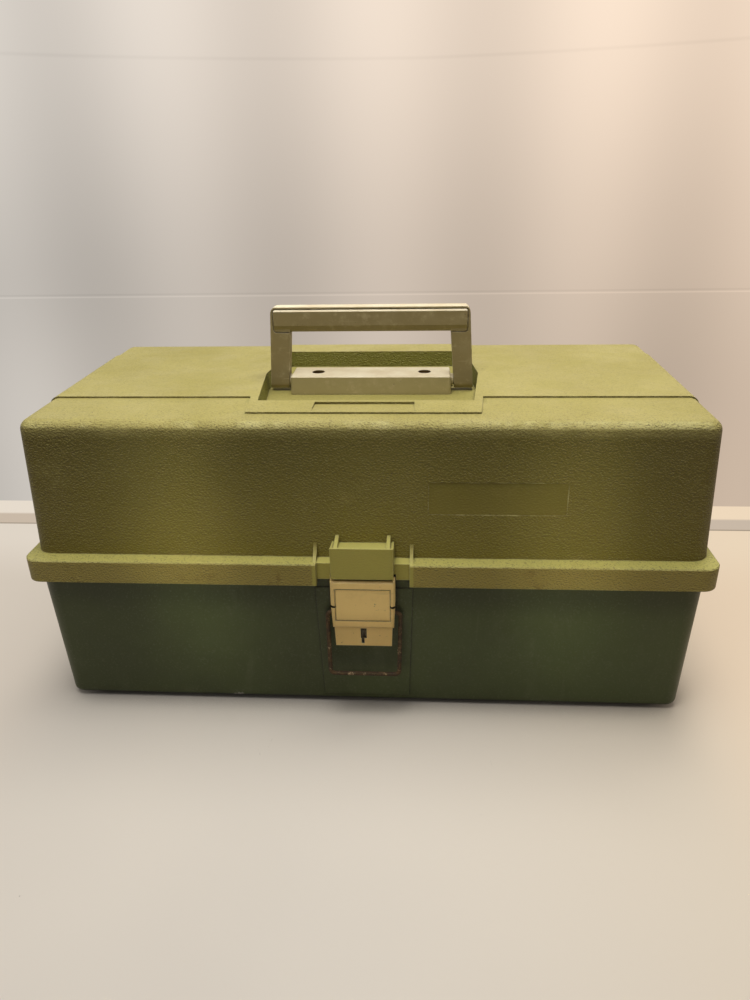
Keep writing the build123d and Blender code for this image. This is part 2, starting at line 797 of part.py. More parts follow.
# Bar that holds the handle down, with a stub at each end and two screw seats
with BuildPart() as handle_mount_bar:
    bar_spread = 2 * bar_height * tan(radians(bar_draft))
    with BuildSketch(Plane.XY.offset(pocket_floor)):
        with Locations((0, pocket_middle)):
            RectangleRounded(bar_length + bar_spread, bar_depth + bar_spread, bar_corner)
    extrude(amount=bar_height, taper=bar_draft)
    chamfer(handle_mount_bar.edges().group_by(Axis.Z)[-1], length=bar_edge_chamfer)
    pivot_share = handle_foot_distance / (grip_low + grip_bevel_height - handle_foot)
    leg_inside = opening_foot + (opening_head - opening_foot) * pivot_share
    with Locations((0, pocket_middle, handle_pivot_z)):
        Cylinder(bar_shoulder_radius, 2 * (leg_inside - shoulder_gap), rotation=(0, 90, 0))
        Cylinder(stub_radius, 2 * stub_end, rotation=(0, 90, 0))
    with Locations(*[(x, y, bar_top) for x, y in screw_places]):
        CounterBoreHole(screw_radius + screw_clearance, screw_head_radius + screw_seat_gap, screw_seat_depth)

save("handle_mount_bar", handle_mount_bar)


# Slotted screws that hold the bar
with BuildPart() as handle_screws:
    with BuildSketch(Plane.XY.offset(screw_seat)):
        with Locations(*screw_places):
            Circle(screw_radius)
    extrude(amount=-screw_length)
    with BuildSketch(Plane.XY.offset(screw_seat)):
        with Locations(*screw_places):
            Circle(screw_head_radius)
    extrude(amount=screw_head_height)
    with BuildSketch(Plane.XY.offset(screw_seat + screw_head_height)):
        with Locations(*screw_places):
            Rectangle(2 * screw_head_radius, screw_slot_width)
    extrude(amount=-screw_slot_depth, mode=Mode.SUBTRACT)

save("handle_screws", handle_screws)


# Latch lever: a bevelled plate with side walls, and a lower flap that holds the lock
with BuildPart() as latch_lever:
    lever_outline = [
        (-lever_waist_width * half_share, lever_step_z),
        (lever_waist_width * half_share, lever_step_z),
        (lever_width * half_share, lever_notch_z),
        (lever_width * half_share, lever_top),
        (-lever_width * half_share, lever_top),
        (-lever_width * half_share, lever_notch_z),
    ]
    with BuildSketch(Plane.XZ.offset(lever_front)):
        Polygon(*lever_outline, align=None)
    extrude(amount=lever_back - lever_front)
    chamfer(latch_lever.faces().sort_by(Axis.Y)[0].edges(), length=lever_bevel)
    with BuildSketch(Plane.XZ.offset(lever_front - lever_plate)):
        Polygon(*lever_outline, align=None)
        offset(amount=-lever_wall, kind=Kind.INTERSECTION)
        # Open at the top, so that the lever turns past the ears
        with Locations((0, lever_top)):
            Rectangle(lever_width - 2 * lever_wall, 2 * lever_wall)
    extrude(amount=lever_back - lever_front + lever_plate, mode=Mode.SUBTRACT)
    # The heel is round about the pin, and the side walls run out above the flap
    heel_radius = lever_pivot_y - lever_back
    with BuildSketch(Plane.YZ):
        with Locations((-lever_pivot_y, lever_pivot_z)):
            corner_size = heel_radius + overrun
            Rectangle(corner_size, corner_size, align=(Align.MIN, Align.MIN))
            Circle(heel_radius, mode=Mode.SUBTRACT)
        toe_outline = [
            (-(lever_front - lever_plate), lever_step_z),
            (-lever_back, lever_step_z - overrun),
            (-lever_back, lever_step_z + lever_toe_height),
        ]
        Polygon(*toe_outline, align=None)
    extrude(amount=lever_width * half_share, both=True, mode=Mode.SUBTRACT)
    # Sunk panel with a groove round it, and the side notches
    with BuildSketch(Plane.XZ.offset(lever_front)):
        with Locations((0, (lever_panel_low + lever_panel_high) * half_share)):
            Rectangle(lever_panel_width, lever_panel_height)
    extrude(amount=-lever_panel_depth, mode=Mode.SUBTRACT)
    with BuildSketch(Plane.XZ.offset(lever_front)):
        with Locations((0, (lever_panel_low + lever_panel_high) * half_share)):
            groove = 2 * lever_groove_width
            Rectangle(lever_panel_width, lever_panel_height)
            Rectangle(lever_panel_width - groove, lever_panel_height - groove, mode=Mode.SUBTRACT)
    extrude(amount=-lever_groove_depth, mode=Mode.SUBTRACT)
    with BuildSketch(Plane.XZ.offset(lever_front)):
        for side in sides:
            with Locations((side * (lever_width - lever_notch_depth) * half_share, lever_notch_z)):
                Rectangle(lever_notch_depth, lever_notch_height)
    extrude(amount=-lever_notch_cut, mode=Mode.SUBTRACT)
    # Flap with its keyhole and the ring that the lock turns in
    flap_outline = [
        (-lever_flap_foot_width * half_share, lever_foot),
        (lever_flap_foot_width * half_share, lever_foot),
        (lever_flap_head_width * half_share, lever_step_z + lever_bevel),
        (-lever_flap_head_width * half_share, lever_step_z + lever_bevel),
    ]
    with BuildSketch(Plane.XZ.offset(lever_front - lever_step_depth)):
        Polygon(*flap_outline, align=None)
    extrude(amount=-lever_plate)
    with BuildSketch(Plane.XZ.offset(flap_back)):
        with Locations((0, lock_z)):
            Circle(lock_ring_radius)
            Circle(lock_cam_radius + lock_running_gap, mode=Mode.SUBTRACT)
    extrude(amount=-lock_ring_height)
    with BuildSketch(Plane.XZ.offset(lever_front)):
        with Locations((0, lock_z + keyhole_offset)):
            Rectangle(keyhole_width, keyhole_height)
        slot_foot = lock_z + keyhole_offset - keyhole_height * half_share - keyhole_slot_height
        with Locations((-keyhole_slot_offset, slot_foot)):
            slot_run = keyhole_slot_height + overrun
            Rectangle(keyhole_slot_width, slot_run, align=(Align.CENTER, Align.MIN))
    extrude(amount=-(lever_step_depth + lever_plate), mode=Mode.SUBTRACT)
    # Holes for the pin and the bail's ends
    with Locations((0, -lever_pivot_y, lever_pivot_z)):
        Cylinder(lever_pin_radius + lever_running_gap, lever_width, rotation=(0, 90, 0), mode=Mode.SUBTRACT)
    with Locations((0, -bail_pivot_y, bail_pivot_z)):
        Cylinder(bail_wire_radius + bail_running_gap, lever_width, rotation=(0, 90, 0), mode=Mode.SUBTRACT)

save("latch_lever", latch_lever)


# Pin through the ears and the lever's side walls
with BuildPart() as latch_lever_pin:
    with Locations((0, -lever_pivot_y, lever_pivot_z)):
        Cylinder(lever_pin_radius, lever_width - 2 * lever_pin_inset, rotation=(0, 90, 0))

save("latch_lever_pin", latch_lever_pin)


# Bail: one bent wire whose turned-in ends sit in the lever's side walls
bail_plane = Plane(
    origin=(0, -bail_pivot_y, bail_pivot_z),
    x_dir=(1, 0, 0),
    z_dir=(0, -cos(radians(bail_tilt)), sin(radians(bail_tilt))),
)
with BuildPart() as latch_bail:
    bail_end = lever_width * half_share - lever_wall - bail_end_inset
    bail_route = [
        (bail_end, 0),
        (bail_head_width * half_share, 0),
        (bail_foot_width * half_share, -bail_length),
        (-bail_foot_width * half_share, -bail_length),
        (-bail_head_width * half_share, 0),
        (-bail_end, 0),
    ]
    with BuildLine(bail_plane) as bail_line:
        FilletPolyline(*bail_route, radius=bail_bend)
    bail_path = bail_line.wire()
    with BuildSketch(Plane(origin=bail_path @ 0, z_dir=bail_path % 0)):
        Circle(bail_wire_radius)
    sweep(path=bail_path)

save("latch_bail", latch_bail)


# Lock: a keyed cam with a tongue, and the cap that keeps it in its ring
with BuildPart() as lock_cam:
    cam_front = flap_back - lock_face_gap
    with BuildSketch(Plane.XZ.offset(cam_front)):
        with Locations((0, lock_z)):
            Circle(lock_cam_radius)
    extrude(amount=-lock_cam_thickness)
    with BuildSketch(Plane.XZ.offset(cam_front)):
        with Locations((0, lock_z)):
            Circle(lock_hub_radius)
    extrude(amount=tongue_front - cam_front)
    with BuildSketch(Plane.XZ.offset(tongue_front)):
        with Locations((0, lock_z)):
            Circle(lock_hub_radius)
            Rectangle(lock_tongue_width, lock_tongue_length, align=(Align.CENTER, Align.MAX))
    extrude(amount=-lock_tongue_thickness)
    with BuildSketch(Plane.XZ.offset(cam_front)):
        with Locations((0, lock_z)):
            Rectangle(lock_slot_width, lock_slot_length)
    extrude(amount=-lock_slot_depth, mode=Mode.SUBTRACT)

save("lock_cam", lock_cam)

with BuildPart() as lock_cap:
    with BuildSketch(Plane.XZ.offset(ring_back - rivet_seat_gap)):
        with Locations((0, lock_z)):
            Circle(lock_ring_radius)
            Circle(lock_hub_radius + lock_running_gap, mode=Mode.SUBTRACT)
    extrude(amount=rivet_seat_gap - lock_cap_thickness)

save("lock_cap", lock_cap)


# Trays: moulded cells under a small lip, with pivot ears on both ends
def tray_pivots(index):
    """Where the rear and the front arm hold a tray, as places along Y and Z."""
    run = arm_hole_distance * (index + 1)
    return [(foot_y + run * arm_run_y, foot_z + run * arm_run_z) for foot_y, foot_z in arm_feet]


for index, tray_name in enumerate(tray_names):
    level = tray_first_level + index * tray_level_distance
    pivots = tray_pivots(index)
    links = [(link_y, link_z)] if index == len(tray_names) - 1 else []
    columns, rows = tray_column_counts[index], tray_row_counts[index]
    cell_length = (tray_length - 2 * tray_wall - (columns - 1) * tray_partition) / columns
    cell_depth = (tray_depth - 2 * tray_wall - (rows - 1) * tray_partition) / rows
    with BuildPart() as tray:
        with BuildSketch(Plane.XY.offset(level)):
            with Locations((0, tray_middle_y)):
                RectangleRounded(tray_length, tray_depth, tray_corner)
        extrude(amount=tray_height)
        with BuildSketch(Plane.XY.offset(level + tray_height)):
            with Locations((0, tray_middle_y)):
                lip = 2 * tray_lip
                RectangleRounded(tray_length + lip, tray_depth + lip, tray_corner + tray_lip)
        extrude(amount=-tray_lip)
        # Ears stand off the ends, and their roots keep to the tray's own height
        for side in sides:
            with BuildSketch(Plane.YZ.offset(side * (tray_end + tray_lip + arm_gap))):
                with Locations(*pivots, *links):
                    Circle(tray_ear_radius)
            extrude(amount=side * (tray_ear_boss - tray_lip - arm_gap))
            with BuildSketch(Plane.YZ.offset(side * (tray_end - tray_wall))):
                with Locations(*pivots, *links):
                    Circle(tray_ear_radius)
                with Locations((tray_middle_y, level)):
                    keep = (Align.CENTER, Align.MIN)
                    Rectangle(tray_depth, tray_height, align=keep, mode=Mode.INTERSECT)
            extrude(amount=side * (tray_wall + tray_lip + arm_gap))
        with BuildSketch(Plane.XY.offset(level + tray_floor)):
            with Locations((0, tray_middle_y)):
                with GridLocations(cell_length + tray_partition, cell_depth + tray_partition, columns, rows):
                    Rectangle(cell_length, cell_depth)
        extrude(amount=tray_height, mode=Mode.SUBTRACT)
        # Blind holes for the rivets, and for the lid's pins in the upper tray
        hole_start = tray_end - rivet_seat_depth
        for side in sides:
            with BuildSketch(Plane.YZ.offset(side * hole_start)):
                with Locations(*pivots):
                    Circle(rivet_radius + rivet_seat_gap)
                for place in links:
                    with Locations(place):
                        Circle(link_pin_radius + rivet_running_gap)
            extrude(amount=side * (ear_end - hole_start), mode=Mode.SUBTRACT)
    save(tray_name, tray)

    # Rivets: head outside the arm, shank set in the ear
    with BuildPart() as tray_rivets:
        shank_start = hole_start + rivet_seat_gap
        head_face = arm_outer + rivet_head_gap
        for side in sides:
            for start, run, radius in (
                (shank_start, head_face - shank_start, rivet_radius),
                (head_face, rivet_head_height, rivet_head_radius),
            ):
                with BuildSketch(Plane.YZ.offset(side * start)):
                    with Locations(*pivots):
                        Circle(radius)
                extrude(amount=side * run)
    save(f"{tray_name}_rivets", tray_rivets)


# Arms: flat steel strips with a hole at the foot and one for each tray
for row, (foot_y, foot_z) in zip(("rear", "front"), arm_feet):
    for side, hand in zip(sides, ("left", "right")):
        with BuildPart() as arm:
            strip = Plane(
                origin=(side * arm_inner, foot_y, foot_z),
                x_dir=(0, arm_run_y, arm_run_z),
                z_dir=(side, 0, 0),
            )
            with BuildSketch(strip):
                with Locations((arm_length * half_share, 0)):
                    SlotCenterToCenter(arm_length, arm_width)
                with Locations(*[(arm_hole_distance * hole, 0) for hole in range(len(tray_names) + 1)]):
                    Circle(rivet_radius + rivet_running_gap, mode=Mode.SUBTRACT)
            extrude(amount=arm_thickness)
        save(f"{row}_arm_{hand}", arm)


# Rivets that hold the arms' feet to the base's bosses
with BuildPart() as arm_foot_rivets:
    for side in sides:
        head_face = arm_inner - rivet_head_gap
        for start, run, radius in (
            (head_face - rivet_head_height, rivet_head_height, rivet_head_radius),
            (head_face, boss_face + rivet_boss_depth - rivet_head_gap - head_face, rivet_radius),
        ):
            with BuildSketch(Plane.YZ.offset(side * start)):
                with Locations(*arm_feet):
                    Circle(radius)
            extrude(amount=side * run)

save("arm_foot_rivets", arm_foot_rivets)


# Pins from the lid's bosses into the upper tray's ears
with BuildPart() as lid_link_pins:
    for side in sides:
        pin_start = tray_end - rivet_seat_depth + rivet_head_gap
        with BuildSketch(Plane.YZ.offset(side * pin_start)):
            with Locations((link_y, link_z)):
                Circle(link_pin_radius)
        extrude(amount=side * (arm_inner + link_pin_depth - rivet_seat_gap - pin_start))

save("lid_link_pins", lid_link_pins)
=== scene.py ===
from math import cos, pi, radians, sin

import bpy
from mathutils import Matrix, Vector


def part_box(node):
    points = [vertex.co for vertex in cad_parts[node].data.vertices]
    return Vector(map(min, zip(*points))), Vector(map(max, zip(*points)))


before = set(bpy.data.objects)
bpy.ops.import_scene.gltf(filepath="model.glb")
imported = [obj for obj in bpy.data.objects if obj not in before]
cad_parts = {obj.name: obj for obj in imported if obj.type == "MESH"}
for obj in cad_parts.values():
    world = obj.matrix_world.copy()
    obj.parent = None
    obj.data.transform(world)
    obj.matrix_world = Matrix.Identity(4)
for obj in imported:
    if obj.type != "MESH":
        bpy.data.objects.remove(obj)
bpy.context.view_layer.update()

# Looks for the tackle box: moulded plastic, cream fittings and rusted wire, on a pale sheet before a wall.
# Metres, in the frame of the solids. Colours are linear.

mm = 0.001

# Camera, fitted to the photograph
image_height = 1000
sensor_width = 36.0
focal_pixels = 747.755
camera_place = Vector((41.9, -586.859, 396.219)) * mm
camera_yaw = radians(-3.973)
camera_pitch = radians(25.014)
camera_roll = radians(1.226)

# Places on the solids that the finishes follow. A box is its spans along X, Y and Z.
lever_low, lever_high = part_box("latch_lever")
bar_low, bar_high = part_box("handle_mount_bar")
front_span = (-1.0, -0.1)
rim_top = 131.5 * mm
rim_blend = 1.5 * mm
ledge_low, ledge_high = 147 * mm, 149 * mm
roof_low, roof_high = 200 * mm, 210 * mm
deck_front, deck_back = -105 * mm, -60 * mm
lid_edge_low, lid_edge_high = 218.5 * mm, 224.5 * mm
rubbed_sheen_low, rubbed_sheen_high = 221 * mm, 224 * mm
lid_shade_low, lid_shade_high = 165 * mm, 258 * mm
lid_end_near, lid_end_far = 165 * mm, 246 * mm
base_shade_low, base_shade_high = 80 * mm, 104 * mm
dust_low, dust_high = 2 * mm, 16 * mm
bay_box = ((-36.2 * mm, 36.2 * mm), (-1.0, -117.4 * mm), (0.0, 149 * mm))
label_box = ((46.6 * mm, 141.8 * mm), front_span, (164.8 * mm, 188.2 * mm))
pocket_box = ((-88 * mm, 88 * mm), (-69 * mm, 79.2 * mm), (216 * mm, 232.2 * mm))
latch_shadow_box = ((-33 * mm, 33 * mm), front_span, (36 * mm, 80 * mm))
scuff_box = ((-107 * mm, -99 * mm), front_span, (2.4 * mm, 6.2 * mm))

# Grains: scale, detail, roughness, distortion and stretch of a noise
leather_grain = (840.0, 2.0, 0.55, 0.4, (0.85, 1.0, 1.0))
sand_grain = (760.0, 2.0, 0.6, 0.0, (1.0, 1.0, 1.0))
wipe_and_sheen_grain = (26.0, 4.0, 0.65, 0.3, (1.0, 1.0, 0.35))
upright_lines = (90.0, 2.0, 0.5, 0.0, (1.0, 1.0, 0.06))
level_streaks = (240.0, 2.0, 0.5, 0.2, (0.10, 1.0, 1.0))
drawn_lines = (700.0, 2.0, 0.5, 0.0, (0.05, 1.0, 1.0))
flow_marks = (14.0, 4.0, 0.6, 0.8, (0.5, 1.0, 1.0))
table_marks = (46.0, 4.0, 0.62, 1.4, (1.0, 0.4, 1.0))

# Colours
olive = (0.46, 0.41, 0.145, 1)
olive_deep = (0.39, 0.345, 0.105, 1)
olive_side_shade = (0.215, 0.182, 0.032, 1)
olive_high_side_shade = (0.122, 0.106, 0.015, 1)
olive_smooth = (0.42, 0.375, 0.085, 1)
olive_pale = (0.66, 0.62, 0.28, 1)
olive_ledge_lit = (0.53, 0.50, 0.150, 1)
olive_rim = (0.42, 0.335, 0.085, 1)
olive_pocket_shade = (0.195, 0.195, 0.034, 1)
olive_end_shade = (0.095, 0.072, 0.012, 1)
brown_stain = (0.115, 0.060, 0.018, 1)
forest = (0.075, 0.094, 0.034, 1)
forest_deep = (0.054, 0.065, 0.023, 1)
forest_shade = (0.034, 0.040, 0.015, 1)
forest_pale = (0.17, 0.185, 0.115, 1)
cream = (0.86, 0.79, 0.58, 1)
cream_deep = (0.72, 0.62, 0.41, 1)
cream_side_shade = (0.285, 0.230, 0.112, 1)
cream_bar_side_shade = (0.42, 0.358, 0.178, 1)
cream_pale = (0.84, 0.77, 0.60, 1)
tan_plastic = (0.80, 0.585, 0.25, 1)
tan_deep = (0.62, 0.43, 0.16, 1)
tan_side_shade = (0.74, 0.52, 0.185, 1)
tan_lit = (0.94, 0.69, 0.26, 1)
tan_pale = (0.88, 0.74, 0.45, 1)
grime_and_shade = (0.060, 0.045, 0.025, 1)
near_black = (0.006, 0.005, 0.004, 1)
seat_soil = (0.115, 0.070, 0.022, 1)
rust_dark = (0.024, 0.015, 0.006, 1)
rust = (0.082, 0.048, 0.017, 1)
rust_bright = (0.50, 0.37, 0.22, 1)
steel = (0.50, 0.49, 0.47, 1)
steel_dull = (0.30, 0.285, 0.26, 1)
brass = (0.10, 0.085, 0.06, 1)
brass_dull = (0.035, 0.03, 0.024, 1)
tray_tan = (0.50, 0.43, 0.30, 1)
tray_shade = (0.40, 0.335, 0.22, 1)
paper = (0.76, 0.715, 0.66, 1)
paper_shade = (0.70, 0.66, 0.615, 1)
paper_warm = (0.86, 0.74, 0.58, 1)
wall_cool = (0.67, 0.625, 0.57, 1)
wall_warm = (0.94, 0.74, 0.57, 1)
floor_edge = (0.79, 0.705, 0.60, 1)
floor_edge_warm = (0.86, 0.69, 0.50, 1)
floor_near = (0.67, 0.585, 0.485, 1)
floor_near_warm = (0.82, 0.635, 0.45, 1)
seam_shade = (0.58, 0.48, 0.38, 1)
seam_dark = (0.36, 0.29, 0.22, 1)
horizon = (0.686, 0.584, 0.490, 1)
surround_light = (1.0, 0.97, 0.93, 1)


class Finish:
    """One material, or the surround, and the nodes that make it."""

    def __init__(self, owner, source="Object"):
        self.owner = owner
        owner.use_nodes = True
        self.tree = owner.node_tree
        self.tree.nodes.clear()
        coordinates = self.node("ShaderNodeTexCoord").outputs
        self.place = coordinates[source]
        self.x, self.y, self.z = self.parts(self.place)
        self.up = self.parts(coordinates["Normal"])[2]

    def node(self, kind, inputs=None, **settings):
        made = self.tree.nodes.new(kind)
        for key, value in settings.items():
            setattr(made, key, value)
        for key, value in (inputs or {}).items():
            self.put(made.inputs[key], value)
        return made

    def put(self, socket, value):
        if isinstance(value, bpy.types.NodeSocket):
            self.tree.links.new(value, socket)
        else:
            socket.default_value = value

    def parts(self, vector):
        """A vector's X, Y and Z."""
        made = self.node("ShaderNodeSeparateXYZ", {"Vector": vector})
        return made.outputs[0], made.outputs[1], made.outputs[2]

    def math(self, operation, first, second=0.0, clamp=False):
        made = self.node("ShaderNodeMath", {0: first, 1: second}, operation=operation, use_clamp=clamp)
        return made.outputs[0]

    def times(self, first, *others):
        """The product of several values."""
        for other in others:
            first = self.math("MULTIPLY", first, other)
        return first

    def without(self, share):
        """What a share leaves of one."""
        return self.math("SUBTRACT", 1.0, share)

    def ramp(self, value, low, high, start=0.0, end=1.0):
        """Runs smoothly from start to end as the value goes from low to high."""
        inputs = {"Value": value, "From Min": low, "From Max": high, "To Min": start, "To Max": end}
        return self.node("ShaderNodeMapRange", inputs, interpolation_type="SMOOTHSTEP").outputs[0]

    def between(self, value, low, high, soft):
        """One inside an interval and zero outside it, with soft ends."""
        rise = self.ramp(value, low - soft, low + soft)
        fall = self.ramp(value, high - soft, high + soft, 1.0, 0.0)
        return self.times(rise, fall)

    def inside(self, box, soft):
        """One inside a box and zero outside it, with soft walls."""
        mask = 1.0
        for axis, (low, high) in zip((self.x, self.y, self.z), box):
            mask = self.times(self.between(axis, low, high, soft), mask)
        return mask

    def noise(self, scale, detail, roughness, distortion=0.0, stretch=(1.0, 1.0, 1.0), rise=0.0):
        vector = self.place
        if stretch != (1.0, 1.0, 1.0) or rise:
            inputs = {"Vector": vector, "Scale": stretch, "Location": (0.0, 0.0, rise)}
            vector = self.node("ShaderNodeMapping", inputs).outputs[0]
        inputs = {
            "Vector": vector,
            "Scale": scale,
            "Detail": detail,
            "Roughness": roughness,
            "Distortion": distortion,
        }
        return self.node("ShaderNodeTexNoise", inputs).outputs["Fac"]

    def relief(self, rise, *grain):
        """A grain's height, and how far its slope faces up."""
        height = self.noise(*grain)
        return height, self.math("SUBTRACT", height, self.noise(*grain, rise=rise))

    def openness(self, distance, samples=6):
        """One in the open, less in corners and under things nearer than a distance."""
        made = self.node("ShaderNodeAmbientOcclusion", {"Distance": distance}, samples=samples)
        return made.outputs["AO"]

    def seen(self):
        """One for rays that show a thing to the camera, straight or by way of a shine or a clear piece."""
        rays = self.node("ShaderNodeLightPath").outputs
        straight = self.math("MAXIMUM", rays["Is Camera Ray"], rays["Is Glossy Ray"])
        return self.math("MAXIMUM", straight, rays["Is Transmission Ray"])

    def mix(self, share, first, second):
        """A value between two."""
        inputs = {"Factor": share, "A": first, "B": second}
        return self.node("ShaderNodeMix", inputs, data_type="FLOAT").outputs[0]

    def blend(self, share, first, second):
        """A colour between two."""
        inputs = {"Factor": share, "A": first, "B": second}
        return self.node("ShaderNodeMix", inputs, data_type="RGBA").outputs["Result"]

    def scaled(self, colour, factor):
        return self.node("ShaderNodeVectorMath", {0: colour, "Scale": factor}, operation="SCALE").outputs[0]

    def eased(self, radius):
        """The normal over edges rounded to a radius."""
        return self.node("ShaderNodeBevel", {"Radius": radius}, samples=4).outputs[0]

    def edges(self, radius, low=0.02, high=0.20):
        """One along outside corners, found by how far a rounded normal leaves the true one."""
        flat = self.node("ShaderNodeNewGeometry").outputs["Normal"]
        inputs = {0: self.eased(radius), 1: flat}
        made = self.node("ShaderNodeVectorMath", inputs, operation="DOT_PRODUCT")
        return self.ramp(self.without(made.outputs["Value"]), low, high)

    def bump(self, height, strength, distance, radius):
        """A bumped normal over edges eased to a radius."""
        inputs = {"Height": height, "Strength": strength, "Distance": distance, "Normal": self.eased(radius)}
        return self.node("ShaderNodeBump", inputs).outputs[0]

    def finish(self, colour, roughness, normal, metallic=0.0, specular=0.5):
        inputs = {
            "Base Color": colour,
            "Roughness": roughness,
            "Normal": normal,
            "Metallic": metallic,
            "Specular IOR Level": specular,
        }
        shader = self.node("ShaderNodeBsdfPrincipled", inputs)
        self.node("ShaderNodeOutputMaterial", {"Surface": shader.outputs[0]})
        return self.owner


def lid_finish():
    """Olive plastic: leather grain on the sides, sandy grain on the rim, smooth keeper and label bed, with
    painted light and shade.
    """
    f = Finish(bpy.data.materials.new("olive_moulding"))
    level = f.ramp(f.up, 0.55, 0.98)
    side = f.ramp(f.up, 0.62, 0.18)
    on_rim = f.ramp(f.z, rim_top, rim_top - rim_blend)
    in_bay = f.inside(bay_box, 0.4 * mm)
    label = f.inside(label_box, 0.4 * mm)
    pocket = f.inside(pocket_box, 0.4 * mm)

    # Grain, flatter on the roof and nearly gone in the bay and on the label bed
    flat_share = f.ramp(f.y, deck_front, deck_back, 0.36, 0.58)
    worn_flat = f.times(level, f.ramp(f.z, roof_low, roof_high), flat_share)
    smooth = f.math("MAXIMUM", f.times(in_bay, 0.80), f.times(label, 0.60))
    grain_share = f.times(f.without(worn_flat), f.without(smooth))
    leather, leather_slope = f.relief(0.4 * mm, *leather_grain)
    sand, sand_slope = f.relief(0.5 * mm, *sand_grain)
    height = f.mix(on_rim, leather, sand)
    slope = f.mix(on_rim, leather_slope, sand_slope)
    normal = f.bump(height, grain_share, 1.2 * mm, 0.7 * mm)

    # Colour of each part: roof, sides in painted shade that deepens upwards and to the ends, rim, a painted
    # light band under the top edge, pocket in painted shade, bay, and ledge in painted light
    tone = f.noise(9.0, 4.0, 0.6)
    mottle = f.noise(46.0, 5.0, 0.68)
    colour = f.blend(f.ramp(tone, 0.35, 0.68), olive_deep, olive)
    colour = f.blend(f.ramp(mottle, 0.48, 0.72, 0.0, 0.45), colour, olive_deep)
    wavy_height = f.math("ADD", f.z, f.times(tone, 0.05))
    # Painted shade: sides darker than the roof, and darker again upwards
    side_shade = f.blend(f.ramp(wavy_height, lid_shade_low, lid_shade_high), olive_side_shade, olive_high_side_shade)
    colour = f.blend(side, colour, side_shade)
    # Painted shade: the sides darken towards the ends
    ends = f.ramp(f.math("ABSOLUTE", f.x), lid_end_near, lid_end_far, 0.0, 0.55)
    colour = f.blend(f.times(ends, side), colour, olive_end_shade)
    colour = f.blend(f.times(on_rim, side, 0.7), colour, olive_rim)
    # Painted light: a lighter, uneven band high on the sides, under the top edge
    edge_light_band = f.math("SUBTRACT", f.ramp(f.z, lid_edge_low, lid_edge_high), pocket, True)
    edge_light_band = f.times(edge_light_band, f.ramp(mottle, 0.25, 0.65, 0.10, 0.34))
    colour = f.blend(f.times(edge_light_band, side), colour, olive)
    # Painted shade in the handle pocket: full on its walls, a quarter on its floor
    colour = f.blend(f.times(pocket, f.ramp(side, 0.0, 1.0, 0.25, 1.0)), colour, olive_pocket_shade)
    colour = f.blend(f.times(in_bay, side), colour, olive_smooth)
    # Painted light: level faces below the ledge's height are lighter
    colour = f.blend(f.times(f.ramp(f.z, ledge_high, ledge_low), level), colour, olive_ledge_lit)

    # Wear and dirt, with painted light and shade
    # Pale worn streaks on the top edge's rounding, partly painted highlight
    rubbed_and_sheen = f.times(f.between(f.up, 0.40, 0.90, 0.08), f.ramp(f.z, rubbed_sheen_low, rubbed_sheen_high))
    rubbed_and_sheen = f.times(rubbed_and_sheen, f.ramp(f.noise(32.0, 4.0, 0.7), 0.45, 0.68, 0.0, 0.6))
    colour = f.blend(rubbed_and_sheen, colour, olive_pale)
    # Painted shade and light on the grain: slopes facing down darker, slopes facing up lighter
    grain_shade = f.times(f.ramp(slope, 0.0, -0.16), grain_share, 0.58)
    colour = f.blend(grain_shade, colour, grime_and_shade)
    grain_light = f.times(f.ramp(slope, 0.02, 0.17), grain_share, 0.42)
    colour = f.blend(grain_light, colour, olive)
    soiled = f.times(f.ramp(f.noise(38.0, 5.0, 0.75), 0.58, 0.72), on_rim, 0.45)
    colour = f.blend(soiled, colour, brown_stain)
    stain = f.times(f.ramp(f.noise(23.0, 5.0, 0.7), 0.60, 0.78), 0.22)
    colour = f.blend(stain, colour, olive_deep)
    specks = f.times(f.ramp(f.noise(310.0, 2.0, 0.5), 0.735, 0.77), 0.55)
    colour = f.blend(specks, colour, grime_and_shade)
    # Painted shade in corners and along steps
    corner_shade = f.ramp(f.openness(2.5 * mm), 0.84, 0.40, 0.0, 0.5)
    colour = f.blend(corner_shade, colour, grime_and_shade)
    # Pale worn edges, partly painted highlights; in the bay every edge
    patchy = f.math("MAXIMUM", f.ramp(f.noise(70.0, 3.0, 0.65), 0.40, 0.66), in_bay)
    colour = f.blend(f.times(f.edges(0.9 * mm), patchy, 0.75), colour, olive_pale)
    roughness = f.ramp(f.noise(40.0, 3.0, 0.6), 0.25, 0.75, 0.40, 0.58)
    return f.finish(colour, roughness, normal, specular=0.30)


